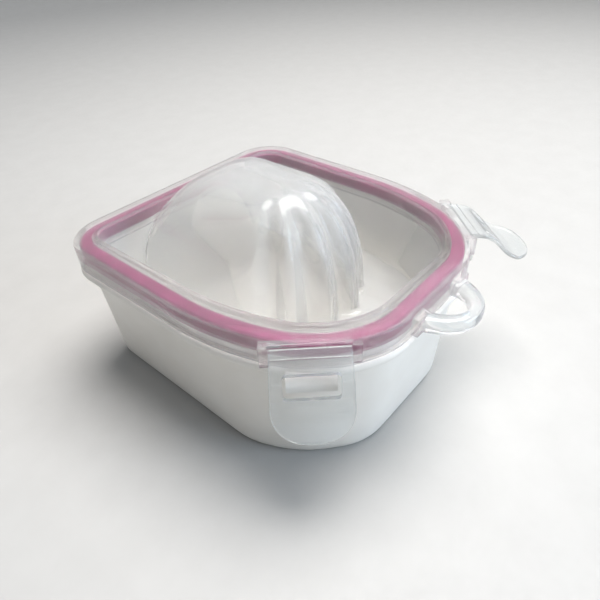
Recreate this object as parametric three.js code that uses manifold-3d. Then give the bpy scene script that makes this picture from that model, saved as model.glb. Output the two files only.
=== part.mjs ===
// Two-layer manicure soaking bowl: a white basin for warm water, a clear tray with a palm rest
// and finger ridges that closes it, a soft sealing ring and two snap latches.
// Millimetres, +Z up. The origin is the middle of the basin's underside; +Y is the finger side,
// where the loop handle is, and -Y is the wrist side.
import * as THREE from "three";
import { mergeVertices } from "three/addons/utils/BufferGeometryUtils.js";
import Module from "manifold-3d";

const wasm = await Module();
wasm.setup();

// Overall sizes
const RIM_Z = 66.5; // top face of the tray's rim
const RIM_POINTS = 72; // points round one horizontal outline
const SHEET = 1.8; // wall thickness of the tray's moulding

// Plan outlines, right half only: corner x, y and the radius that rounds it, from the wrist
// corner to the finger side. SEAL is the sealing ring's outer edge, FOOT the basin's underside.
const SEAL_OUTLINE = [[62, -69.5, 16], [61, 21.5, 118], [47.2, 59.4, 44], [23.5, 69.8, 26]];
const FOOT_OUTLINE = [[56.8, -66.5, 10], [57.2, 27, 35], [48.4, 47.5, 52], [27.5, 65.4, 28]];

// Rim section: d is the distance outside SEAL_OUTLINE, z the height above the rim's top face
const SKIRT_D = 3.2; // outer face of the tray's skirt
const SKIRT_INNER_D = 1;
const SKIRT_Z = -10.8; // lower edge of the skirt
const PLATE = 1.6; // thickness of the plate over the sealing ring
const CHANNEL_D = -4.8; // inner side of the sealing ring's channel
const RIB_D = -6.8; // inner side of the rib beside that channel
const RIB_TOP = -0.2;
const RIB_BOTTOM = -9;
const LIP_INNER_D = -7; // raised lip round the tray's well
const LIP_RISE = 0.9;
const RIM_SECTION = [
  [CHANNEL_D, -PLATE], [SKIRT_INNER_D, -PLATE], [SKIRT_INNER_D, SKIRT_Z], [SKIRT_D, SKIRT_Z],
  [SKIRT_D, -2], [SKIRT_D - 0.6, -0.5], [SKIRT_D - 1.8, 0], [CHANNEL_D - 0.2, 0], [CHANNEL_D - 0.5, LIP_RISE],
];
const SEAL_WIDTH = 4.5;
const SEAL_HEIGHT = 5;
const GAP = 0.3; // clearance between touching pieces

// Basin. FOOT and INSIDE give d from FOOT_OUTLINE and the height above the underside; FLANGE and
// LIP are on the rim's section. The lip stands inside the skirt, below the sealing ring.
const FLANGE_TOP = SKIRT_Z - GAP;
const BASIN_LIP_TOP = -PLATE - GAP - SEAL_HEIGHT - GAP;
const BASIN_FOOT = [[-3, 0], [-1, 0.7], [0, 2.8]];
const BASIN_FLANGE = [
  [-0.6, -15.6], [1.8, -15.1], [3, -13.6], [2.5, FLANGE_TOP - 0.6], [1.4, FLANGE_TOP], [-1.4, FLANGE_TOP],
];
const BASIN_LIP = [[-1.4, BASIN_LIP_TOP], [-3.6, BASIN_LIP_TOP], [-3.6, -15.6]];
const BASIN_INSIDE = [[-2.2, 6.1], [-3.2, 3.6], [-5.7, 2.6]];

// Tray well and palm rest
const WELL_DEPTH = 34;
const WELL_DRAFT = 5; // how far the well's wall leans in
const REST_HALF_WIDTH = 36.5;
const REST_TOP_Z = 20; // above the rim's top face
const REST_WRIST_Z = -3; // height where the palm rest meets the wrist-side lip
const REST_END_Y = -2; // centre of the palm rest's rounded end
const REST_FULLNESS = 3; // a larger power gives fuller shoulders
const REST_STEEPNESS = 0.46; // a smaller power gives steeper flanks
const RIDGE_ANGLES = [-42, -14, 14, 42]; // finger ridges, degrees from +Y
const GROOVE_DEPTH = 0.1; // share of the radius between two ridges
const REST_CLIMB = 36; // length over which the palm rest rises from the wrist side
const SPINE_WRIST_Y = -45; // the surface lines end on the palm rest's spine
const WELL_RINGS = 21; // points along one line of the tray's surface
const WALL_FILLET = 3; // reach of the rounding between wall and floor
const REST_FILLET = 6; // and at the palm rest's foot
const LINE_SAMPLES = 160;
const CLEAN_UP = 0.002; // joins leave slivers thinner than this

// Latches: hinge line, and the plate's path as lengths with angles out from straight down
const LATCH_NORMAL_DEG = 42.7; // direction that the latch corner faces, from +X
const HINGE_D = 3.5; // hinge line outside SEAL_OUTLINE
const HINGE_Z = -1;
const HINGE_SHIFT = 7.3; // middle of the hinge line, along the corner from its facing direction
const LATCH_THICKNESS = 1.6;
const LATCH_RUNS = [[9, 30], [12, -6], [11, 14], [4.5, 34]];
const LATCH_STEP = 3; // length of one facet down the plate
const LATCH_ROOT_WIDTH = 26.4;
const LATCH_WIDTH = 28.6;
const LATCH_TIP_HALF_WIDTH = 3; // half-width of the short straight end
const SLOT_WIDTH = 19;
const SLOT_TOP = -7; // below the hinge line, latch snapped shut
const SLOT_BOTTOM = -17;
const FRONT_REST_DEG = 8; // front latch hangs just clear of its lug
const REAR_REST_DEG = 49; // rear latch stands open

// Flat on the skirt that a latch's root lies against, between two pads
const FLAT_D = 2.4;
const PAD_WIDTH = 3;
const PAD_HEIGHT = 7;
const PAD_RISE = 0.6; // pads and latch root stay below the rim's top face
const PAD_OUT = 0.6; // in front of the hinge line
const PAD_ROOT = -3.9; // inside the skirt

// Lug that a latch snaps over
const LUG_WIDTH = 17;
const LUG_ROOT_D = -1.8;
const LUG_D = 7.6;
const LUG_TOP_Z = -12;
const LUG_BOTTOM_Z = -16.4;
const LUG_NOSE = 1.6; // height of the slope at its tip
const LUG_SLOPE = 3; // length of that slope

// Loop handle
const LOOP_HALF_WIDTH = 16.8;
const LOOP_TIP_Y = 89.3;
const LOOP_TOP_Z = -1.9;
const LOOP_HEIGHT = 6.1;
const LOOP_HOLE_HALF_WIDTH = 9;
const LOOP_BAR = 5; // thickness of the loop at its tip
const LOOP_SHOULDER = 8; // half-width where the loop and its hole turn in to the tip
const LOOP_EDGE = 1.2; // bevel of its edges
const LOOP_STRAIGHT = 2; // straight stretch at its roots
const LOOP_HOLE_START = 1.4; // between the skirt and the hole

// ---- outlines ----

// The arc that rounds the corner at p between the corners before and after it.
function cornerArc(p, r, before, after) {
  const toBefore = before.clone().sub(p).normalize();
  const toAfter = after.clone().sub(p).normalize();
  const half = Math.acos(toBefore.dot(toAfter)) / 2;
  const reach = r / Math.tan(half);
  const centre = toBefore.clone().add(toAfter).setLength(r / Math.sin(half)).add(p);
  const start = toBefore.multiplyScalar(reach).add(p).sub(centre);
  const end = toAfter.multiplyScalar(reach).add(p).sub(centre);
  return { centre, r, from: start.angle(), to: end.angle() };
}

// Evenly spaced points round a mirrored outline, counter-clockwise from the finger side's middle.
function outlinePoints(corners) {
  const right = corners.map(([x, y, r]) => ({ p: new THREE.Vector2(x, y), r }));
  const left = corners.map(([x, y, r]) => ({ p: new THREE.Vector2(-x, y), r })).reverse();
  const loop = [...left, ...right];
  const path = new THREE.Path();
  path.moveTo(0, left[0].p.y);
  path.lineTo(left[0].p.x / 2, left[0].p.y);
  loop.forEach(({ p, r }, i) => {
    const before = loop[(i + loop.length - 1) % loop.length].p;
    const after = loop[(i + 1) % loop.length].p;
    const arc = cornerArc(p, r, before, after);
    path.absarc(arc.centre.x, arc.centre.y, arc.r, arc.from, arc.to, false);
  });
  path.closePath();
  const half = path.getSpacedPoints(RIM_POINTS).slice(0, RIM_POINTS / 2 + 1);
  half[0].x = 0;
  half[RIM_POINTS / 2].x = 0;
  const mirrored = half.slice(1, -1).map((p) => new THREE.Vector2(-p.x, p.y)).reverse();
  return [...half, ...mirrored];
}

const SEAL_POINTS = outlinePoints(SEAL_OUTLINE);
const FOOT_POINTS = outlinePoints(FOOT_OUTLINE);

// An outline moved outward by d.
function offsetOutline(points, d) {
  const n = points.length;
  return points.map((p, i) => {
    const along = points[(i + 1) % n].clone().sub(points[(i + n - 1) % n]).normalize();
    return new THREE.Vector2(p.x + along.y * d, p.y - along.x * d);
  });
}

// A horizontal ring. rise 1 follows the sealing ring's outline, rise 0 the foot's.
function ring(d, z, rise = 1) {
  const mixed = FOOT_POINTS.map((p, i) => p.clone().lerp(SEAL_POINTS[i], rise));
  return offsetOutline(mixed, d).map((p) => new THREE.Vector3(p.x, p.y, z));
}

// A ring given as d and z on the rim's section.
function rimRing([d, z]) {
  return ring(d, RIM_Z + z);
}

// ---- closed skins and solids ----

// Triangles between successive rings, and flat caps on the open ends if asked.
function skin(rings, { capped = false, looped = false } = {}) {
  const count = rings[0].length;
  const points = rings.flat();
  const faces = [];
  const bands = looped ? rings.length : rings.length - 1;
  for (let band = 0; band < bands; band++) {
    const low = band * count;
    const high = ((band + 1) % rings.length) * count;
    for (let i = 0; i < count; i++) {
      const next = (i + 1) % count;
      faces.push(low + i, low + next, high + next, low + i, high + next, high + i);
    }
  }
  if (capped) {
    addCap(points, faces, rings[0], 0, true);
    addCap(points, faces, rings[rings.length - 1], (rings.length - 1) * count, false);
  }
  const geometry = new THREE.BufferGeometry();
  geometry.setAttribute("position", new THREE.Float32BufferAttribute(points.flatMap((p) => p.toArray()), 3));
  geometry.setIndex(faces);
  return geometry;
}

// A fan from a ring's middle.
function addCap(points, faces, cap, start, flipped) {
  const middle = new THREE.Vector3();
  cap.forEach((p) => middle.addScaledVector(p, 1 / cap.length));
  const centre = points.push(middle) - 1;
  for (let i = 0; i < cap.length; i++) {
    const here = start + i;
    const next = start + ((i + 1) % cap.length);
    faces.push(...(flipped ? [centre, next, here] : [centre, here, next]));
  }
}

// Signed volume of an indexed triangle list.
function signedVolume(position, index) {
  const corner = (i) => new THREE.Vector3().fromBufferAttribute(position, index[i]);
  let volume = 0;
  for (let i = 0; i < index.length; i += 3) {
    volume += corner(i).dot(corner(i + 1).cross(corner(i + 2))) / 6;
  }
  return volume;
}

// A three.js geometry as a solid, its shared vertices merged and its faces turned outward.
function solid(geometry) {
  const bare = geometry.clone();
  bare.deleteAttribute("normal");
  bare.deleteAttribute("uv");
  const merged = mergeVertices(bare, 1e-4);
  const position = merged.getAttribute("position");
  const index = [];
  const source = merged.getIndex().array;
  for (let i = 0; i < source.length; i += 3) {
    const [a, b, c] = source.slice(i, i + 3);
    if (a !== b && b !== c && c !== a) {
      index.push(a, b, c);
    }
  }
  if (signedVolume(position, index) < 0) {
    index.reverse();
  }
  return new wasm.Manifold(new wasm.Mesh({
    numProp: 3,
    vertProperties: new Float32Array(position.array),
    triVerts: new Uint32Array(index),
  }));
}

// A solid as a named mesh.
function meshOf(name, body, { color, roughness, opacity = 1 }) {
  const { vertProperties, triVerts } = body.getMesh();
  const geometry = new THREE.BufferGeometry();
  geometry.setAttribute("position", new THREE.BufferAttribute(new Float32Array(vertProperties), 3));
  geometry.setIndex(new THREE.BufferAttribute(new Uint32Array(triVerts), 1));
  geometry.computeVertexNormals();
  const material = new THREE.MeshStandardMaterial({ color, roughness, metalness: 0 });
  material.opacity = opacity;
  material.transparent = opacity < 1;
  const mesh = new THREE.Mesh(geometry, material);
  mesh.name = name;
  return mesh;
}

// A profile in y and z, extruded over width along x, middle at x = 0.
function extrudeAcross(profile, width) {
  const shape = new THREE.Shape(profile.map(([y, z]) => new THREE.Vector2(y, z)));
  const geometry = new THREE.ExtrudeGeometry(shape, { depth: width, bevelEnabled: false });
  geometry.translate(0, 0, -width / 2);
  return geometry.applyMatrix4(new THREE.Matrix4().set(0, 0, 1, 0, 1, 0, 0, 0, 0, 1, 0, 0, 0, 0, 0, 1));
}

// ---- latch corners ----

// The place of a latch's hinge line. Its own frame has x along the hinge and y outward.
// side is 1 for the front (+X) corner and -1 for the rear one.
function hingeFrame(side) {
  const facing = THREE.MathUtils.degToRad(LATCH_NORMAL_DEG);
  const outward = new THREE.Vector2(Math.cos(facing), Math.sin(facing));
  const reach = Math.max(...SEAL_POINTS.map((p) => p.dot(outward))) + HINGE_D;
  const along = new THREE.Vector2(-outward.y, outward.x);
  const place = outward.multiplyScalar(reach).addScaledVector(along, HINGE_SHIFT);
  const frame = new THREE.Matrix4().makeRotationZ(side * (facing - Math.PI / 2));
  return frame.setPosition(side * place.x, place.y, RIM_Z + HINGE_Z);
}

// ---- basin ----

function basinShell() {
  const footRing = ([d, z]) => ring(d, z, 0);
  const outer = [...BASIN_FOOT.map(footRing), ...BASIN_FLANGE.map(rimRing)];
  const inner = [...BASIN_LIP.map(rimRing), ...BASIN_INSIDE.map(footRing)];
  return solid(skin([...outer, ...inner], { capped: true }));
}

// The wedge on the basin's corner that a latch's slot drops over.
function lug(side) {
  const root = LUG_ROOT_D - HINGE_D;
  const tip = LUG_D - HINGE_D;
  const up = LUG_TOP_Z - HINGE_Z;
  const down = LUG_BOTTOM_Z - HINGE_Z;
  const profile = [[root, up], [tip - LUG_SLOPE, up], [tip, up - LUG_NOSE], [tip, down], [root, down]];
  return solid(extrudeAcross(profile, LUG_WIDTH).applyMatrix4(hingeFrame(side)));
}

function basin() {
  return basinShell().add(lug(1)).add(lug(-1));
}

// ---- sealing ring ----

function sealRing() {
  const top = -PLATE - GAP;
  const section = [[0, top], [0, top - SEAL_HEIGHT], [-SEAL_WIDTH, top - SEAL_HEIGHT], [-SEAL_WIDTH, top]];
  return solid(skin(section.map(rimRing), { looped: true }));
}

// ---- tray ----

// The larger of a and b, rounded over where they are within reach of each other.
function smoothMax(a, b, reach) {
  const share = THREE.MathUtils.clamp(0.5 + (a - b) / (2 * reach), 0, 1);
  return THREE.MathUtils.lerp(b, a, share) + reach * share * (1 - share);
}

// 1 in the middle of a groove between two finger ridges, 0 on a ridge and round the sides.
function groove(x, y) {
  const pitch = RIDGE_ANGLES[1] - RIDGE_ANGLES[0];
  const limit = RIDGE_ANGLES[RIDGE_ANGLES.length - 1] + pitch;
  const angle = THREE.MathUtils.radToDeg(Math.atan2(x, y - REST_END_Y));
  if (Math.abs(angle) > limit) {
    return 0;
  }
  return 0.5 + 0.5 * Math.cos((2 * Math.PI * (angle - RIDGE_ANGLES[0] - pitch / 2)) / pitch);
}

// Height of the palm rest above the rim's top face. inset is the depth below its surface.
function restHeight(x, y, inset) {
  const wristY = SEAL_OUTLINE[0][1] - LIP_INNER_D;
  const climb = THREE.MathUtils.clamp((y - wristY) / REST_CLIMB, 0, 1);
  const crest = THREE.MathUtils.lerp(REST_WRIST_Z, REST_TOP_Z, Math.sin((climb * Math.PI) / 2)) - inset;
  const out = y > REST_END_Y ? Math.hypot(x, y - REST_END_Y) : Math.abs(x);
  const share = out / (REST_HALF_WIDTH * (1 - GROOVE_DEPTH * groove(x, y)) - inset);
  const arch = share < 1 ? (1 - share ** REST_FULLNESS) ** REST_STEEPNESS : 1 - share;
  return -WELL_DEPTH - inset + (crest + WELL_DEPTH + inset) * arch;
}

// One line over the tray's surface, from the rim down the wall to foot, then in to the palm
// rest's spine.
function wellLine(start, foot, topZ, inset) {
  const along = THREE.MathUtils.mapLinear(start.y, -60, 25, SPINE_WRIST_Y, REST_END_Y);
  const spine = new THREE.Vector2(0, THREE.MathUtils.clamp(along, SPINE_WRIST_Y, REST_END_Y));
  const reach = foot.distanceTo(spine);
  const floor = -WELL_DEPTH - inset;
  const path = new THREE.CurvePath();
  let before = new THREE.Vector3(start.x, start.y, RIM_Z + topZ);
  for (let i = 1; i <= LINE_SAMPLES; i++) {
    const run = (i / LINE_SAMPLES) * (WELL_DRAFT + reach);
    const past = run - WELL_DRAFT;
    const p = foot.clone().lerp(past < 0 ? start : spine, past < 0 ? -past / WELL_DRAFT : past / reach);
    const wall = topZ + ((floor - topZ) * run) / WELL_DRAFT;
    const rest = restHeight(p.x, p.y, inset);
    const z = smoothMax(smoothMax(wall, floor, WALL_FILLET), rest, REST_FILLET);
    const here = new THREE.Vector3(p.x, p.y, RIM_Z + z);
    path.add(new THREE.LineCurve3(before, here));
    before = here;
  }
  return path.getSpacedPoints(WELL_RINGS);
}

// The tray's surface as rings from the rim inward. inset 0 is its upper side.
function wellRings(d, topZ, inset) {
  const feet = offsetOutline(SEAL_POINTS, d - WELL_DRAFT);
  const lines = offsetOutline(SEAL_POINTS, d).map((start, i) => wellLine(start, feet[i], topZ, inset));
  return lines[0].map((_, k) => lines.map((line) => line[k]));
}

function trayMoulding() {
  const upper = wellRings(LIP_INNER_D, LIP_RISE, 0);
  const lower = wellRings(LIP_INNER_D + SHEET, -PLATE - 0.1, SHEET).reverse();
  return solid(skin([...lower, ...RIM_SECTION.map(rimRing), ...upper]));
}

// The rib that holds the sealing ring's inner side where the palm rest leaves no wall for it.
function channelRib() {
  const section = [[CHANNEL_D, RIB_TOP], [CHANNEL_D, RIB_BOTTOM], [RIB_D, RIB_BOTTOM], [RIB_D, RIB_TOP]];
  return solid(skin(section.map(rimRing), { looped: true }));
}

// The two pads beside a latch's root.
function latchPads(side) {
  const low = -PAD_HEIGHT;
  const profile = [[PAD_ROOT, PAD_RISE], [PAD_OUT, PAD_RISE], [PAD_OUT, low], [PAD_ROOT, low]];
  const middle = LATCH_ROOT_WIDTH / 2 + GAP + PAD_WIDTH / 2;
  const pad = extrudeAcross(profile, PAD_WIDTH);
  const pads = solid(pad.clone().translate(middle, 0, 0)).add(solid(pad.translate(-middle, 0, 0)));
  return pads.transform(hingeFrame(side).elements);
}

// The material taken off the skirt so that a latch's root lies flat against it.
function skirtFlat(side) {
  const near = FLAT_D - HINGE_D;
  const far = near + 4;
  const profile = [[near, 2], [far, 2], [far, 2 * SKIRT_Z], [near, 2 * SKIRT_Z]];
  return solid(extrudeAcross(profile, LATCH_ROOT_WIDTH + 2 * GAP).applyMatrix4(hingeFrame(side)));
}

function loopHandle() {
  const rootY = SEAL_OUTLINE[3][1] + SKIRT_INNER_D + 1;
  const bendY = rootY + 12;
  const shape = new THREE.Shape();
  shape.moveTo(-LOOP_HALF_WIDTH, rootY);
  shape.lineTo(LOOP_HALF_WIDTH, rootY);
  shape.lineTo(LOOP_HALF_WIDTH, rootY + LOOP_STRAIGHT);
  shape.bezierCurveTo(LOOP_HALF_WIDTH - 3, bendY, LOOP_SHOULDER, LOOP_TIP_Y, 0, LOOP_TIP_Y);
  shape.bezierCurveTo(-LOOP_SHOULDER, LOOP_TIP_Y, 3 - LOOP_HALF_WIDTH, bendY, -LOOP_HALF_WIDTH,
    rootY + LOOP_STRAIGHT);
  const holeY = SEAL_OUTLINE[3][1] + SKIRT_D + LOOP_HOLE_START;
  const holeBendY = holeY + 6;
  const holeTipY = LOOP_TIP_Y - LOOP_BAR;
  const hole = new THREE.Path();
  hole.moveTo(LOOP_HOLE_HALF_WIDTH, holeY);
  hole.lineTo(-LOOP_HOLE_HALF_WIDTH, holeY);
  hole.bezierCurveTo(-LOOP_SHOULDER, holeBendY, -3.5, holeTipY, 0, holeTipY);
  hole.bezierCurveTo(3.5, holeTipY, LOOP_SHOULDER, holeBendY, LOOP_HOLE_HALF_WIDTH, holeY);
  shape.holes.push(hole);
  const geometry = new THREE.ExtrudeGeometry(shape, {
    depth: LOOP_HEIGHT - 2 * LOOP_EDGE,
    curveSegments: 8,
    bevelThickness: LOOP_EDGE,
    bevelSize: LOOP_EDGE,
    bevelOffset: -LOOP_EDGE,
    bevelSegments: 2,
  });
  return solid(geometry.translate(0, 0, RIM_Z + LOOP_TOP_Z - LOOP_HEIGHT + LOOP_EDGE));
}

function tray() {
  const rim = trayMoulding().subtract(skirtFlat(1)).subtract(skirtFlat(-1)).add(channelRib());
  return rim.add(latchPads(1)).add(latchPads(-1)).add(loopHandle()).simplify(CLEAN_UP);
}

// ---- latches ----

// Points down the middle of a latch's plate in y and z, with the length run so far.
function latchPath() {
  const points = [{ y: 0, z: 0, run: 0, angle: LATCH_RUNS[0][1] }];
  LATCH_RUNS.forEach(([length, angle]) => {
    const steps = Math.ceil(length / LATCH_STEP);
    const lean = THREE.MathUtils.degToRad(angle);
    for (let i = 0; i < steps; i++) {
      const last = points[points.length - 1];
      const step = length / steps;
      const y = last.y + step * Math.sin(lean);
      const z = last.z - step * Math.cos(lean);
      points.push({ y, z, run: last.run + step, angle });
    }
  });
  return points;
}

// Half the plate's width at a length down it: straight sides, then a half-round end.
function latchHalfWidth(run, total) {
  const radius = LATCH_WIDTH / 2;
  const straight = total - radius;
  if (run <= straight) {
    return THREE.MathUtils.lerp(LATCH_ROOT_WIDTH / 2, radius, run / straight);
  }
  const round = Math.sqrt(Math.max(0, radius ** 2 - (run - straight) ** 2));
  return Math.max(LATCH_TIP_HALF_WIDTH, round);
}

// A cylinder along x, middle at the origin.
function acrossCylinder(radius, length) {
  return new THREE.CylinderGeometry(radius, radius, length, 16).rotateZ(Math.PI / 2);
}

// A latch in its own frame, snapped shut: hinge line on x, plate hanging along -z.
function latchBody() {
  const path = latchPath();
  const total = path[path.length - 1].run;
  const sections = path.map(({ y, z, run, angle }, i) => {
    const next = path[Math.min(i + 1, path.length - 1)].angle;
    const lean = THREE.MathUtils.degToRad((angle + next) / 2);
    const across = new THREE.Vector3(0, Math.cos(lean), Math.sin(lean)).multiplyScalar(LATCH_THICKNESS / 2);
    const half = latchHalfWidth(run, total);
    const corner = (x, way) => new THREE.Vector3(x, y, z).addScaledVector(across, way);
    return [corner(-half, 1), corner(half, 1), corner(half, -1), corner(-half, -1)];
  });
  const plate = solid(skin(sections, { capped: true }));
  const root = solid(acrossCylinder(LATCH_THICKNESS / 2, LATCH_ROOT_WIDTH));
  const slot = [[0, SLOT_TOP], [20, SLOT_TOP], [20, SLOT_BOTTOM], [0, SLOT_BOTTOM]];
  return plate.add(root).subtract(solid(extrudeAcross(slot, SLOT_WIDTH)));
}

function latch(name, side, openDeg) {
  const mesh = meshOf(name, latchBody(), CLEAR);
  const lean = new THREE.Matrix4().makeRotationX(THREE.MathUtils.degToRad(openDeg));
  mesh.applyMatrix4(hingeFrame(side).multiply(lean));
  return mesh;
}

// ---- assembly ----

const WHITE = { color: 0xeceef0, roughness: 0.38 };
const CLEAR = { color: 0xdfe6e8, roughness: 0.12, opacity: 0.45 };
const PINK = { color: 0xc982a8, roughness: 0.55 };

const bowl = new THREE.Group();
bowl.add(meshOf("basin", basin(), WHITE));
bowl.add(meshOf("sealing_ring", sealRing(), PINK));
bowl.add(meshOf("tray", tray(), CLEAR));
bowl.add(latch("front_latch", 1, FRONT_REST_DEG));
bowl.add(latch("rear_latch", -1, REAR_REST_DEG));

export default bowl;
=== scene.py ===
import math

import bmesh
import bpy
import numpy as np
from mathutils import Matrix, Vector


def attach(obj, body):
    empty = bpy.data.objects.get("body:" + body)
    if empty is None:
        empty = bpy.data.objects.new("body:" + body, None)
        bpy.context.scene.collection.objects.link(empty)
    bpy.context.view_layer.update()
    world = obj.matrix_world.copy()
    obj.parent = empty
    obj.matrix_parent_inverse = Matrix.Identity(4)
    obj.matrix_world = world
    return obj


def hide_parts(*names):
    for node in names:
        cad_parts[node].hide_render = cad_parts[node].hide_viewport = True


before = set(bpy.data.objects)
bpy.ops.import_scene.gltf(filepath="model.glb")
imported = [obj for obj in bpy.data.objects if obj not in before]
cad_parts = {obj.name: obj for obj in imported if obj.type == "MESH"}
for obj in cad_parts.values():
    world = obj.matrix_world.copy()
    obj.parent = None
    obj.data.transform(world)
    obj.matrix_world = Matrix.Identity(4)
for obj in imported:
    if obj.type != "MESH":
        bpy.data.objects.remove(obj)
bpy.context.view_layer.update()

# Sizes are in millimetres until a mesh is made. The frame is the CAD's: +Z up, +Y finger side.
MM = 0.001

RIM_Z = 66.5
SHEET = 1.8
SEAL_OUTLINE = [(62, -69.5, 16), (61, 21.5, 118), (47.2, 59.4, 44), (23.5, 69.8, 26)]
FOOT_OUTLINE = [(56.8, -66.5, 10), (57.2, 27, 35), (48.4, 47.5, 52), (27.5, 65.4, 28)]
ROUND = 300  # points round an outline
ARC_STEPS = 40

SKIRT_IN_D = 1
SKIRT_D = 3.2
SKIRT_Z = -10.8
PLATE = 1.6
LIP_D = -7
LIP_RISE = 0.9
GAP = 0.3

FLANGE_D = 1.3
FLANGE_ROLL = 2.2  # radius of the basin's rolled flange
BASIN_LIP_OUT_D = 0.4
BASIN_LIP_IN_D = -3.6
RISE_SCALE = 5  # rise runs from 0 to this while the basin's section is rounded

SEAL_OUT_D = 0.8
SEAL_IN_D = -4.5
SEAL_HEIGHT = 5
RIB_D = -4.8
RIB_THICKNESS = 2
RIB_BOTTOM = -9

WELL_DEPTH = 34
WELL_DRAFT = 5
REST_HALF_WIDTH = 36.5
REST_TOP_Z = 20
REST_WRIST_Z = -3
REST_END_Y = -2
REST_FULLNESS = 3
REST_STEEPNESS = 0.46
REST_CLIMB = 36
RIDGE_ANGLES = (-42, -14, 14, 42)
GROOVE_DEPTH = 0.13
GROOVE_START = 0.2  # where the grooves begin, as a share of the way from spine to foot
GROOVE_FADE = 0.45  # the share over which they reach their depth
SPINE_WRIST_Y = -45
SPINE_SPAN = (-60, 25)  # the rim's y from which lines run to the spine's wrist end and its finger end
WALL_FILLET = 3
REST_FILLET = 5
LINE_SAMPLES = 700
WELL_RINGS = 110

LATCH_NORMAL = math.radians(42.7)
HINGE_D = 3.5
HINGE_Z = -1
HINGE_SHIFT = 7.3
FLAT_D = 2.4  # the rim is cut flat here, to clear the latch
FLAT_CUT = 4
LATCH_THICKNESS = 1.6
LATCH_RUNS = [(9, 30, 4.5), (12, -6, 5), (5.5, 12, 1.2), (8.2, 37, 0)]  # length, lean, rounding
LATCH_ROOT_WIDTH = 26.4
BEAD_RUN = 2.4  # the hinge's bead, measured down the plate
BEAD_RADIUS = 0.35
LATCH_WIDTH = 28.6
TIP_SHARE = 0.85  # length of the rounded tip, as a share of half the width
TIP_POWER = 2.4
TIP_HALF_WIDTH = 1.5
SLOT_WIDTH = 19
SLOT_TOP = -7
SLOT_BOTTOM = -17
SLOT_ROUNDING = 1.6
FRONT_REST = 8
REAR_REST = 49

LUG_WIDTH = 17
LUG_D = 7.6
LUG_ROOT_D = -1.8
LUG_TOP_Z = -12
LUG_BOTTOM_Z = -16.4
LUG_CHAMFER = (2.2, 1.8)

# The pads beside a latch and the tab between them, in the hinge's frame.
PAD_WIDTH = 3
PAD_ROOT = -3.9
PAD_LOWER_ROOT = -2.9
PAD_TIP = 0.6
PAD_TOP = 1.35
PAD_STEP = -0.3
PAD_BOTTOM = -7
TAB_BOTTOM = 0.3

LOOP_HALF_WIDTH = 16.8
LOOP_TIP_Y = 89.3
LOOP_TOP_Z = -1.9
LOOP_HEIGHT = 6.1
LOOP_HOLE_HALF_WIDTH = 9
LOOP_BAR = 5
LOOP_SQUARENESS = 2.7
STEP_WIDTH = 7
STEP_RUN = 4.6

CLEAR_SLOT, MILKY_SLOT, HAZY_SLOT = 0, 1, 2


# ---- outlines ----

def unit(v):
    return v / np.linalg.norm(v)


def run_along(line):
    """How far along a line each of its points is."""
    return np.concatenate([[0], np.cumsum(np.linalg.norm(np.diff(line, axis=0), axis=1))])


def resample(points, count, closed=False):
    """Evenly spaced points along a line, as an array."""
    points = np.asarray(points, float)
    run = run_along(points)
    stops = np.linspace(0, run[-1], count + 1)[:-1] if closed else np.linspace(0, run[-1], count)
    return np.stack([np.interp(stops, run, column) for column in points.T], 1)


def outline(corners, count=ROUND):
    """Points round a mirrored outline, counter-clockwise from the finger side's middle."""
    right = [(np.array([x, y], float), r) for x, y, r in corners]
    left = [(np.array([-x, y], float), r) for x, y, r in reversed(corners)]
    loop = left + right
    line = [np.array([0.0, loop[0][0][1]])]
    for i, (p, r) in enumerate(loop):
        a = unit(loop[i - 1][0] - p)
        b = unit(loop[(i + 1) % len(loop)][0] - p)
        half = math.acos(a @ b) / 2
        centre = p + unit(a + b) * r / math.sin(half)
        start, end = (p + way * r / math.tan(half) - centre for way in (a, b))
        t0 = math.atan2(start[1], start[0])
        t1 = math.atan2(end[1], end[0])
        t1 += 2 * math.pi if t1 < t0 else 0
        turn = np.linspace(t0, t1, ARC_STEPS)
        line += list(centre + r * np.stack([np.cos(turn), np.sin(turn)], 1))
    line.append(line[0])
    return resample(line, count, closed=True)


def offset(points, d):
    """An outline moved outward by d."""
    along = np.roll(points, -1, 0) - np.roll(points, 1, 0)
    along /= np.linalg.norm(along, axis=1)[:, None]
    return points + d * np.stack([along[:, 1], -along[:, 0]], 1)


SEAL_POINTS = outline(SEAL_OUTLINE)
FOOT_POINTS = outline(FOOT_OUTLINE)


def ring(rise, d, z):
    """A level ring. rise 1 follows the seal's outline and rise 0 the foot's; z is above the base."""
    plan = offset(FOOT_POINTS * (1 - rise) + SEAL_POINTS * rise, d)
    return np.column_stack([plan, np.full(len(plan), float(z))])


def rounded(points, closed=False, steps=6):
    """A line with its corners rounded. The last number of each point is how far off its rounding starts."""
    rows = [np.array(p, float) for p in points]
    out = []
    for i, row in enumerate(rows):
        p, r = row[:-1], row[-1]
        if r == 0 or (not closed and i in (0, len(rows) - 1)):
            out.append(p)
            continue
        before = rows[i - 1][:-1] - p
        after = rows[(i + 1) % len(rows)][:-1] - p
        reach = min(r, 0.48 * np.linalg.norm(before), 0.48 * np.linalg.norm(after))
        a, b = p + unit(before) * reach, p + unit(after) * reach
        for t in np.linspace(0, 1, steps):
            out.append((1 - t) ** 2 * a + 2 * t * (1 - t) * p + t**2 * b)
    return out


# ---- meshes ----

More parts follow.
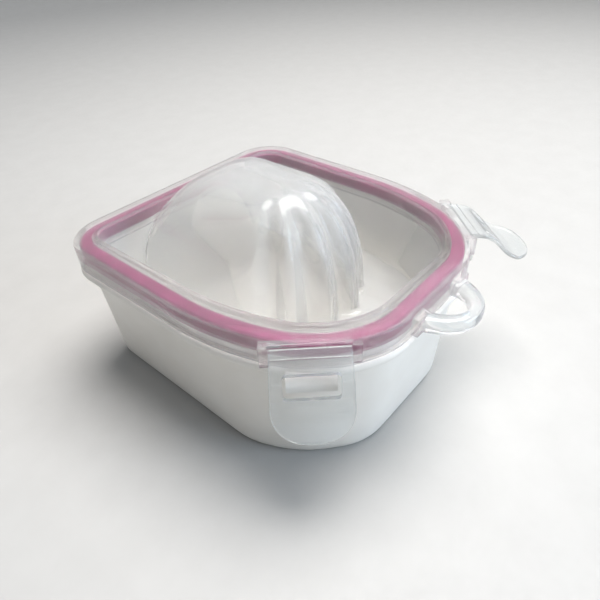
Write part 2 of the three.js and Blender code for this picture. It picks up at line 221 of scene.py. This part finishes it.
def mesh_of(name, points, faces, slots):
    """A mesh object from millimetre points, its doubles merged and its faces turned outward."""
    mesh = bpy.data.meshes.new(name)
    mesh.from_pydata((np.asarray(points) * MM).tolist(), [], faces)
    mesh.polygons.foreach_set("material_index", slots)
    work = bmesh.new()
    work.from_mesh(mesh)
    bmesh.ops.remove_doubles(work, verts=work.verts, dist=2e-6)
    bmesh.ops.dissolve_degenerate(work, edges=work.edges, dist=1e-6)
    bmesh.ops.recalc_face_normals(work, faces=work.faces)
    work.to_mesh(mesh)
    work.free()
    piece = bpy.data.objects.new(name, mesh)
    bpy.context.scene.collection.objects.link(piece)
    return piece


def skin(name, rings, looped=False, capped=False, slots=None):
    """A skin over rings with equal numbers of points. slots has a material number for each band."""
    rings = [np.asarray(r, float) for r in rings]
    count = len(rings[0])
    faces, numbers = [], []
    for band in range(len(rings) if looped else len(rings) - 1):
        low, high = band * count, ((band + 1) % len(rings)) * count
        for i in range(count):
            n = (i + 1) % count
            faces.append((low + i, low + n, high + n, high + i))
            numbers.append(slots[band] if slots else 0)
    if capped:
        faces.append(tuple(range(count))[::-1])
        faces.append(tuple(range((len(rings) - 1) * count, len(rings) * count)))
        numbers += [0, 0]
    return mesh_of(name, np.concatenate(rings), faces, numbers)


def combine(piece, others, how):
    """Joins others to a piece, or cuts them from it."""
    for other in others:
        change = piece.modifiers.new("join", "BOOLEAN")
        change.operation = how
        change.solver = "MANIFOLD"
        change.object = other
    bake(piece)
    for other in others:
        bpy.data.objects.remove(other)
    return piece


def bake(piece):
    """Applies a piece's modifiers to its mesh."""
    graph = bpy.context.evaluated_depsgraph_get()
    graph.update()
    done = bpy.data.meshes.new_from_object(piece.evaluated_get(graph))
    piece.modifiers.clear()
    piece.data = done


def use_slot(piece, number):
    for face in piece.data.polygons:
        face.material_index = number
    return piece


def smooth(piece, degrees=32):
    piece.data.polygons.foreach_set("use_smooth", [True] * len(piece.data.polygons))
    piece.data.set_sharp_from_angle(angle=math.radians(degrees))
    return piece


def across(name, profile, width):
    """A profile in y and z extruded over width along x."""
    half = width / 2
    rings = [[(x, y, z) for y, z in profile] for x in (-half, half)]
    return skin(name, rings, capped=True)


def hinge_frame(side):
    """The latch's hinge line: x along it, y outward, z up. side 1 is the front latch."""
    outward = np.array([math.cos(LATCH_NORMAL), math.sin(LATCH_NORMAL)])
    reach = (SEAL_POINTS @ outward).max() + HINGE_D
    place = outward * reach + np.array([-outward[1], outward[0]]) * HINGE_SHIFT
    turn = Matrix.Rotation(side * (LATCH_NORMAL - math.pi / 2), 4, "Z")
    return Matrix.Translation(Vector((side * place[0], place[1], RIM_Z + HINGE_Z)) * MM) @ turn


def placed(piece, matrix):
    piece.data.transform(matrix)
    return piece


# ---- the tray's surface ----

def smooth_max(a, b, reach):
    share = np.clip(0.5 + (a - b) / (2 * reach), 0, 1)
    return b + (a - b) * share + reach * share * (1 - share)


def groove(x, y):
    """1 along the middle of a groove and 0 along the crest of a ridge."""
    pitch = RIDGE_ANGLES[1] - RIDGE_ANGLES[0]
    angle = np.degrees(np.arctan2(x, y - REST_END_Y))
    wave = 0.5 + 0.5 * np.cos(2 * np.pi * (angle - RIDGE_ANGLES[0] - pitch / 2) / pitch)
    return np.where(np.abs(angle) > RIDGE_ANGLES[-1] + pitch, 0, wave)


def rest_height(x, y, inset):
    """Height of the palm rest above the rim's top face."""
    wrist_y = SEAL_OUTLINE[0][1] - LIP_D
    climb = np.clip((y - wrist_y) / REST_CLIMB, 0, 1)
    crest = REST_WRIST_Z + (REST_TOP_Z - REST_WRIST_Z) * np.sin(climb * np.pi / 2) - inset
    out = np.where(y > REST_END_Y, np.hypot(x, y - REST_END_Y), np.abs(x))
    fade = np.clip((out / REST_HALF_WIDTH - GROOVE_START) / GROOVE_FADE, 0, 1)
    depth = GROOVE_DEPTH * fade**2 * (3 - 2 * fade)
    share = out / (REST_HALF_WIDTH * (1 - depth * groove(x, y)) - inset)
    arch = np.where(share < 1, (1 - np.minimum(share, 1) ** REST_FULLNESS) ** REST_STEEPNESS, 1 - share)
    return -WELL_DEPTH - inset + (crest + WELL_DEPTH + inset) * arch


def well_line(start, foot, top_z, inset):
    """One line over the tray's surface, from the rim down the wall and in to the spine."""
    spine_y = np.interp(start[1], SPINE_SPAN, (SPINE_WRIST_Y, REST_END_Y))
    spine = np.array([0, spine_y])
    reach = np.linalg.norm(foot - spine)
    floor = -WELL_DEPTH - inset
    run = np.linspace(0, WELL_DRAFT + reach, LINE_SAMPLES)[:, None]
    past = run - WELL_DRAFT
    down_wall = foot + (start - foot) * (-past / WELL_DRAFT)
    plan = np.where(past < 0, down_wall, foot + (spine - foot) * past / reach)
    wall = top_z + (floor - top_z) * run[:, 0] / WELL_DRAFT
    rest = rest_height(plan[:, 0], plan[:, 1], inset)
    z = smooth_max(smooth_max(wall, floor, WALL_FILLET), rest, REST_FILLET)
    z[0] = top_z
    return resample(np.column_stack([plan, RIM_Z + z]), WELL_RINGS)


def well_rings(d, top_z, inset):
    starts = offset(SEAL_POINTS, d)
    feet = offset(SEAL_POINTS, d - WELL_DRAFT)
    lines = np.array([well_line(s, f, top_z, inset) for s, f in zip(starts, feet)])
    return list(lines.transpose(1, 0, 2))


def rim_rings(section, closed=False, steps=6):
    return [ring(1, d, RIM_Z + z) for d, z in rounded(section, closed, steps)]


# ---- basin ----

def make_lug(side):
    """The block that a latch's slot snaps over."""
    root, tip = LUG_ROOT_D - HINGE_D, LUG_D - HINGE_D
    up, down = LUG_TOP_Z - HINGE_Z, LUG_BOTTOM_Z - HINGE_Z
    run, drop = LUG_CHAMFER
    profile = [(root, up, 0), (tip - run, up, 0.8), (tip, up - drop, 0.9), (tip, down, 0.6), (root, down, 0)]
    return placed(across("lug", rounded(profile, closed=True), LUG_WIDTH), hinge_frame(side))


def make_basin():
    """The shell: up the outside, round the flange, over the lip, and down the inside to the floor."""
    flange_top = RIM_Z + SKIRT_Z - GAP
    lip_top = RIM_Z - PLATE - GAP - SEAL_HEIGHT - GAP
    middle = flange_top - FLANGE_ROLL
    outside = [(0, -4.2, 0, 0), (0, -1.6, 0, 1.2), (0, 0, 3, 3), (RISE_SCALE, -0.8, 50.2, 0.5)]
    flange = []
    for a in np.radians(np.linspace(-80, 85, 12)):
        d, z = FLANGE_D + FLANGE_ROLL * math.cos(a), middle + FLANGE_ROLL * math.sin(a)
        flange.append((RISE_SCALE, d, z, 0))
    lip = [
        (RISE_SCALE, BASIN_LIP_OUT_D, flange_top, 0.2), (RISE_SCALE, BASIN_LIP_OUT_D, lip_top, 0.5),
        (RISE_SCALE, BASIN_LIP_IN_D, lip_top, 0.5), (RISE_SCALE, BASIN_LIP_IN_D, 51, 3),
    ]
    inside = [(0, -2.2, 7.5, 5), (0, -7.5, 2.6, 3), (0, -9, 2.6, 0)]
    section = rounded(outside + flange + lip + inside, steps=9)
    shell = skin("basin_shell", [ring(rise / RISE_SCALE, d, z) for rise, d, z in section], capped=True)
    return smooth(combine(shell, [make_lug(1), make_lug(-1)], "UNION"))


# ---- sealing ring ----

def make_seal():
    top = -PLATE - GAP
    bottom = top - SEAL_HEIGHT
    section = [
        (-0.1, top, 0.3), (SEAL_OUT_D, top - 0.7, 0.4), (SEAL_OUT_D, bottom, 0.5),
        (SEAL_IN_D, bottom, 0.5), (SEAL_IN_D, top, 0.5),
    ]
    return smooth(skin("seal_band", rim_rings(section, closed=True, steps=5), looped=True))


# ---- tray ----

def bezier(points):
    t = np.linspace(0, 1, 36)[:, None]
    a, b, c, d = (np.array(point, float) for point in points)
    return (1 - t) ** 3 * a + 3 * t * (1 - t) ** 2 * b + 3 * t**2 * (1 - t) * c + t**3 * d


def mirrored(half):
    """A plan line that ends on the middle, carried on as its own mirror image."""
    return np.concatenate([half, half[-2::-1] * (-1, 1)])


def make_loop():
    """The loop handle: a rounded bar between its outer curve and its hole's curve."""
    skirt_y = SEAL_OUTLINE[3][1] + SKIRT_D
    root_y = skirt_y - 1.4
    outer = mirrored(bezier([
        (LOOP_HALF_WIDTH, root_y + 1), (LOOP_HALF_WIDTH - 2.6, root_y + 12), (8, LOOP_TIP_Y), (0, LOOP_TIP_Y),
    ]))
    tip = LOOP_TIP_Y - LOOP_BAR
    inner = mirrored(bezier([(LOOP_HOLE_HALF_WIDTH, root_y), (8.4, skirt_y + 7.4), (3.5, tip), (0, tip)]))
    turn = np.linspace(0, 2 * math.pi, 28, endpoint=False)
    power = 2 / LOOP_SQUARENESS
    side = np.sign(np.cos(turn)) * np.abs(np.cos(turn)) ** power
    lift = np.sign(np.sin(turn)) * np.abs(np.sin(turn)) ** power
    rings = []
    for a, b in zip(outer, inner):
        plan = (a + b) / 2 + side[:, None] * (a - b) / 2
        z = RIM_Z + LOOP_TOP_Z - LOOP_HEIGHT / 2 + lift * LOOP_HEIGHT / 2
        rings.append(np.column_stack([plan, z]))
    return use_slot(skin("loop", rings, capped=True), HAZY_SLOT)


def make_flat(side):
    """What is cut from the rim to leave a latch room to hang."""
    near = FLAT_D - HINGE_D
    far = near + FLAT_CUT
    top, bottom = 2, -22
    corners = [(near, top), (far, top), (far, bottom), (near, bottom)]
    return placed(across("flat", corners, LATCH_ROOT_WIDTH + 2 * GAP), hinge_frame(side))


def make_pads(side):
    """The two pads beside a latch, and the low tab between them."""
    profile = rounded([
        (PAD_ROOT, PAD_TOP, 0.4), (PAD_TIP, PAD_TOP, 0.9), (PAD_TIP, PAD_BOTTOM, 1.2),
        (PAD_LOWER_ROOT, PAD_BOTTOM, 0), (PAD_LOWER_ROOT, PAD_STEP, 0), (PAD_ROOT, PAD_STEP, 0),
    ], closed=True)
    made = []
    for way in (1, -1):
        pad = across("pad", profile, PAD_WIDTH)
        shift = Vector((way * (LATCH_ROOT_WIDTH / 2 + GAP + PAD_WIDTH / 2), 0, 0)) * MM
        made.append(placed(placed(pad, Matrix.Translation(shift)), hinge_frame(side)))
    tip = FLAT_D - HINGE_D - 0.1
    profile = [(PAD_ROOT, TAB_BOTTOM, 0), (PAD_ROOT, PAD_TOP, 0.4), (tip, PAD_TOP, 0.6), (tip, TAB_BOTTOM, 0)]
    tab = across("tab", rounded(profile, closed=True), LATCH_ROOT_WIDTH + 3 * GAP)
    made.append(placed(use_slot(tab, HAZY_SLOT), hinge_frame(side)))
    return made


def make_rib():
    """The rib that holds the sealing ring from inside."""
    inner = RIB_D - RIB_THICKNESS
    section = [(RIB_D, -0.2, 0), (RIB_D, RIB_BOTTOM, 0.4), (inner, RIB_BOTTOM, 0.4), (inner, -0.2, 0)]
    return skin("rib", rim_rings(section, closed=True), looped=True)


def make_steps():
    """The small blocks at the loop's two roots."""
    root = SEAL_OUTLINE[3][1] + 1.6
    tip = root + STEP_RUN
    top, bottom = RIM_Z + LOOP_TOP_Z + 0.7, RIM_Z + LOOP_TOP_Z - LOOP_HEIGHT - 0.5
    profile = rounded([(root, top, 0), (tip, top, 0.9), (tip, bottom, 0.9), (root, bottom, 0)], closed=True)
    made = []
    for way in (1, -1):
        shift = Vector((way * (LOOP_HALF_WIDTH - 3), 0, 0)) * MM
        made.append(placed(across("step", profile, STEP_WIDTH), Matrix.Translation(shift)))
    return made


def make_tray():
    """The shell of rim and well, cut flat at the hinges, with everything moulded onto it."""
    upper = well_rings(LIP_D, LIP_RISE, 0)
    lower = well_rings(LIP_D + SHEET, -PLATE - 0.1, SHEET)[::-1]
    section = [
        (-5.2, -PLATE - 0.1, 0), (-4.8, -PLATE, 0.2),
        (SKIRT_IN_D, -PLATE, 0.4), (SKIRT_IN_D, SKIRT_Z, 0.3), (SKIRT_D, SKIRT_Z, 0.9), (SKIRT_D, 0, 1.3),
        (-4.7, 0, 0.5), (-5.3, LIP_RISE, 0.6), (LIP_D, LIP_RISE, 0),
    ]
    rim = rim_rings(section, steps=8)[1:-1]
    well = [MILKY_SLOT] * (len(lower) - 1)
    slots = well + [CLEAR_SLOT] * (len(rim) + 1) + well
    tray = skin("tray_moulding", lower + rim + upper, slots=slots)
    for material in (CLEAR, MILKY, HAZY):
        tray.data.materials.append(material)
    combine(tray, [make_flat(1), make_flat(-1)], "DIFFERENCE")
    extras = make_pads(1) + make_pads(-1) + [make_rib(), make_loop()] + make_steps()
    return smooth(combine(tray, extras, "UNION"))


# ---- latches ----

def latch_path():
    """The plate's middle line in y and z, its bends rounded, snapped shut."""
    p = np.array([0.0, 0.0])
    corners = [(*p, 0)]
    for length, lean, rounding in LATCH_RUNS:
        p = p + length * np.array([math.sin(math.radians(lean)), -math.cos(math.radians(lean))])
        corners.append((*p, rounding))
    return resample(rounded(corners, steps=14), 90)


def bar(name, centre, radius, width):
    """A round bar along x."""
    turn = np.linspace(0, 2 * math.pi, 32, endpoint=False)
    return across(name, np.stack([np.cos(turn), np.sin(turn)], 1) * radius + centre, width)


def plate_section(half, place, normal):
    """A ring across the plate, half its width each way: one face, one round edge, the other face and edge."""
    edge = LATCH_THICKNESS / 2
    flat = np.linspace(-(half - edge), half - edge, 24)
    turn = np.linspace(0, math.pi, 9)[1:-1]
    section = [(x, edge) for x in flat]
    section += [(half - edge + edge * math.sin(a), edge * math.cos(a)) for a in turn]
    section += [(x, -edge) for x in flat[::-1]]
    section += [(-(half - edge) - edge * math.sin(a), -edge * math.cos(a)) for a in turn]
    return [(x, place[0] + normal[0] * h, place[1] + normal[1] * h) for x, h in section]


def make_latch(name, side, open_degrees):
    """A bent plate with a round hinge edge, a bead, a slot and a rounded tip, swung open on its hinge."""
    path = latch_path()
    run = run_along(path)
    total = run[-1]
    straight = total - LATCH_WIDTH / 2 * TIP_SHARE
    # closer steps where the tip narrows
    round_stops = straight + (total - straight) * np.sin(np.linspace(0, 1.5, 34))[1:]
    stops = np.concatenate([np.linspace(0, straight, 60), round_stops])
    middle = np.stack([np.interp(stops, run, path[:, k]) for k in (0, 1)], 1)
    tangent = np.gradient(middle, stops, axis=0)
    tangent /= np.linalg.norm(tangent, axis=1)[:, None]
    normal = np.stack([-tangent[:, 1], tangent[:, 0]], 1)
    rings = []
    for stop, place, away in zip(stops, middle, normal):
        past = max(0, stop - straight) / (total - straight)
        width = LATCH_ROOT_WIDTH + (LATCH_WIDTH - LATCH_ROOT_WIDTH) * min(1, stop / straight)
        half = max(TIP_HALF_WIDTH, width / 2 * (1 - past**TIP_POWER) ** (1 / TIP_POWER))
        rings.append(plate_section(half, place, away))
    plate = skin(name, rings, capped=True)
    root = bar("root", (0, 0), LATCH_THICKNESS / 2, LATCH_ROOT_WIDTH)
    at = np.searchsorted(stops, BEAD_RUN)
    bead_centre = middle[at] + normal[at] * LATCH_THICKNESS / 2
    bead = bar("bead", bead_centre, BEAD_RADIUS, LATCH_ROOT_WIDTH - 1)
    half = SLOT_WIDTH / 2
    corners = [(-half, SLOT_TOP), (half, SLOT_TOP), (half, SLOT_BOTTOM), (-half, SLOT_BOTTOM)]
    window = rounded([(*corner, SLOT_ROUNDING) for corner in corners], closed=True, steps=7)
    slot = skin("slot", [[(x, y, z) for x, z in window] for y in (-2, 20)], capped=True)
    combine(plate, [root, bead], "UNION")
    combine(plate, [slot], "DIFFERENCE")
    lean = Matrix.Rotation(math.radians(open_degrees), 4, "X")
    return smooth(placed(plate, hinge_frame(side) @ lean))


# ---- materials ----

NOISE_RANGE = (0.3, 0.7)  # where nearly all of a noise's values lie


def new_material(name):
    material = bpy.data.materials.new(name)
    material.use_nodes = True
    nodes = material.node_tree.nodes
    return material, nodes, material.node_tree.links, nodes["Principled BSDF"]


def add_node(nodes, kind, **settings):
    """A new node, each setting one of its properties or else the value of its input."""
    node = nodes.new(kind)
    for key, value in settings.items():
        if hasattr(node, key):
            setattr(node, key, value)
        else:
            node.inputs[key].default_value = value
    return node


def noise(nodes, links, place, scale):
    node = add_node(nodes, "ShaderNodeTexNoise", Scale=scale, Detail=3.0)
    links.new(place.outputs["Object"], node.inputs["Vector"])
    return node.outputs["Fac"]


def spread(nodes, links, source, low, high):
    """Maps a noise value onto low to high."""
    node = add_node(nodes, "ShaderNodeMapRange")
    node.inputs["From Min"].default_value, node.inputs["From Max"].default_value = NOISE_RANGE
    node.inputs["To Min"].default_value = low
    node.inputs["To Max"].default_value = high
    links.new(source, node.inputs["Value"])
    return node.outputs["Result"]


def tint(nodes, links, source, dark, light):
    """Mixes two colours by a noise value."""
    node = add_node(nodes, "ShaderNodeValToRGB")
    for element, position, colour in zip(node.color_ramp.elements, NOISE_RANGE, (dark, light)):
        element.position = position
        element.color = (*colour, 1)
    links.new(source, node.inputs["Fac"])
    return node.outputs["Color"]


def bump(nodes, links, shader, layers):
    """Stacks bumps from (height, strength, distance in millimetres)."""
    last = None
    for height, strength, distance in layers:
        node = add_node(nodes, "ShaderNodeBump", Strength=strength, Distance=distance * MM)
        links.new(height, node.inputs["Height"])
        if last:
            links.new(last, node.inputs["Normal"])
        last = node.outputs["Normal"]
    links.new(last, shader.inputs["Normal"])


def surface(name, dark, light, roughness, bumps, patch=60, **sockets):
    """A moulded surface: patchy colour, uneven roughness and bumps of (scale, strength, mm)."""
    material, nodes, links, shader = new_material(name)
    place = nodes.new("ShaderNodeTexCoord")
    broad = noise(nodes, links, place, patch)
    fine = noise(nodes, links, place, patch * 6)
    links.new(tint(nodes, links, broad, dark, light), shader.inputs["Base Color"])
    links.new(spread(nodes, links, fine, *roughness), shader.inputs["Roughness"])
    layers = [(noise(nodes, links, place, scale), strength, height) for scale, strength, height in bumps]
    bump(nodes, links, shader, layers)
    for socket, value in sockets.items():
        shader.inputs[socket.replace("_", " ")].default_value = value
    return material


def make_materials():
    white = surface(
        "white_plastic", (0.85, 0.82, 0.765), (0.89, 0.865, 0.815), (0.34, 0.46),
        [(1400, 0.05, 0.05), (45, 0.08, 0.3)], IOR=1.46, Coat_Weight=0.12, Coat_Roughness=0.3,
    )
    clear, milky, hazy = (
        surface(
            name, dark, light, (0.05, 0.13), [(38, 0.07, 0.25), (700, 0.03, 0.03)],
            IOR=ior, Specular_IOR_Level=0.9, Transmission_Weight=transmission, Alpha=alpha,
        )
        for name, dark, light, ior, transmission, alpha in (
            # clear_plastic's pink cast is a painted reflection of the pink sealing ring; the plastic itself
            # is clear
            ("clear_plastic", (0.955, 0.905, 0.922), (0.975, 0.94, 0.952), 1.33, 0.92, 0.55),
            ("milky_plastic", (0.965, 0.972, 0.975), (0.985, 0.99, 0.99), 1.33, 0.72, 0.64),
            ("hazy_plastic", (0.92, 0.94, 0.938), (0.95, 0.965, 0.962), 1.46, 0.84, 0.85),
        )
    )
    pink = surface(
        "pink_silicone", (0.27, 0.022, 0.11), (0.33, 0.036, 0.15), (0.42, 0.6),
        [(900, 0.12, 0.06), (60, 0.1, 0.2)], patch=90, IOR=1.41, Sheen_Weight=0.15,
    )
    return white, clear, milky, hazy, pink


# ---- assembly ----

def fit_piece(piece, body, node, material):
    """Rides a piece on its body in its node's stead. A piece without a material gets one."""
    if not (piece.data.materials and piece.data.materials[0]):
        piece.data.materials.clear()
        piece.data.materials.append(material)
    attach(piece, body)
    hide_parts(node)


WHITE, CLEAR, MILKY, HAZY, PINK = make_materials()
fit_piece(make_basin(), "basin", "basin", WHITE)
fit_piece(make_seal(), "tray", "sealing_ring", PINK)
fit_piece(make_tray(), "tray", "tray", CLEAR)
fit_piece(make_latch("front_latch_plate", 1, FRONT_REST), "front_latch", "front_latch", HAZY)
fit_piece(make_latch("rear_latch_plate", -1, REAR_REST), "rear_latch", "rear_latch", HAZY)


# ---- floor, light and camera ----

# Sizes from here on are in metres.
FLOOR_PROFILE = [(0.01, 0), (0.5, 0), (1.1, 0), (1.5, 0.05), (1.8, 0.22), (1.95, 0.6), (2.0, 1.4)]
BRIGHT_SIDE = (-0.6, 0.75, 0.25)
BRIGHT_RANGE = (-0.6, 0.7)  # how far a direction points to the bright side, where the change starts and ends
DIM_WARM = (0.03, 0.028, 0.025, 1)
DAYLIGHT = (0.55, 0.6, 0.66, 1)
LIGHT_AIM = (0, 0, 0.03)
CAMERA_PLACE = (0.1373, 0.13334, 0.17855)
CAMERA_AZIMUTH, CAMERA_ELEVATION, CAMERA_ROLL = 42.622, 38.539, -3.149
CAMERA_LENS = 31.07


def make_floor():
    """A floor that curves up behind the object into a pale wall on every side."""
    turn = np.linspace(0, 2 * math.pi, 96, endpoint=False)
    circle = np.column_stack([np.cos(turn), np.sin(turn)])
    rings = [np.column_stack([circle * r, np.full(len(turn), z)]) / MM for r, z in FLOOR_PROFILE]
    floor = skin("floor", rings)
    work = bmesh.new()
    work.from_mesh(floor.data)
    hole = [edge for edge in work.edges if edge.is_boundary and edge.verts[0].co.length < FLOOR_PROFILE[1][0]]
    bmesh.ops.contextual_create(work, geom=hole)
    bmesh.ops.recalc_face_normals(work, faces=work.faces)
    work.to_mesh(floor.data)
    work.free()
    smooth(floor, 60)
    pale = surface("pale_floor", (0.495, 0.485, 0.47), (0.515, 0.505, 0.49), (0.55, 0.7), [(30, 0.02, 0.2)])
    floor.data.materials.append(pale)


def area_light(name, place, size, watts, colour):
    data = bpy.data.lights.new(name, "AREA")
    data.shape = "DISK"
    data.size = size
    data.energy = watts
    data.color = colour
    light = bpy.data.objects.new(name, data)
    light.location = place
    light.rotation_euler = (Vector(LIGHT_AIM) - Vector(place)).to_track_quat("-Z", "Y").to_euler()
    bpy.context.scene.collection.objects.link(light)


def make_world():
    """A dim warm surround that brightens to cool daylight past the finger side, towards -X."""
    world = bpy.data.worlds.new("studio")
    world.use_nodes = True
    nodes, links = world.node_tree.nodes, world.node_tree.links
    place = nodes.new("ShaderNodeTexCoord")
    facing = add_node(nodes, "ShaderNodeVectorMath", operation="DOT_PRODUCT")
    facing.inputs[1].default_value = Vector(BRIGHT_SIDE).normalized()
    links.new(place.outputs["Generated"], facing.inputs[0])
    ramp = add_node(nodes, "ShaderNodeMapRange", interpolation_type="SMOOTHSTEP")
    ramp.inputs["From Min"].default_value, ramp.inputs["From Max"].default_value = BRIGHT_RANGE
    links.new(facing.outputs["Value"], ramp.inputs["Value"])
    mix = add_node(nodes, "ShaderNodeMix", data_type="RGBA")
    mix.inputs["A"].default_value = DIM_WARM
    mix.inputs["B"].default_value = DAYLIGHT
    links.new(ramp.outputs["Result"], mix.inputs["Factor"])
    links.new(mix.outputs["Result"], nodes["Background"].inputs["Color"])
    bpy.context.scene.world = world


def make_camera():
    azimuth, elevation, roll = (math.radians(a) for a in (CAMERA_AZIMUTH, CAMERA_ELEVATION, CAMERA_ROLL))
    level = Vector((-math.sin(azimuth), math.cos(azimuth), 0))
    out = Vector((math.cos(azimuth), math.sin(azimuth), 0))
    back = out * math.cos(elevation) + Vector((0, 0, math.sin(elevation)))
    up = back.cross(level)
    right = level * math.cos(roll) + up * math.sin(roll)
    up = back.cross(right)
    data = bpy.data.cameras.new("camera")
    data.sensor_width = 36
    data.lens = CAMERA_LENS
    data.clip_start = 0.01
    camera = bpy.data.objects.new("camera", data)
    turn = Matrix((right, up, back)).transposed().to_4x4()
    camera.matrix_world = Matrix.Translation(CAMERA_PLACE) @ turn
    bpy.context.scene.collection.objects.link(camera)
    bpy.context.scene.camera = camera


make_floor()
make_world()
area_light("key_overhead", (-0.28, 0.02, 0.95), 0.75, 15, (1, 0.98, 0.955))
area_light("cool_right", (-0.3, 0.85, 0.35), 0.6, 4.6, (0.64, 0.81, 1))
make_camera()
bpy.context.scene.view_settings.view_transform = "Standard"
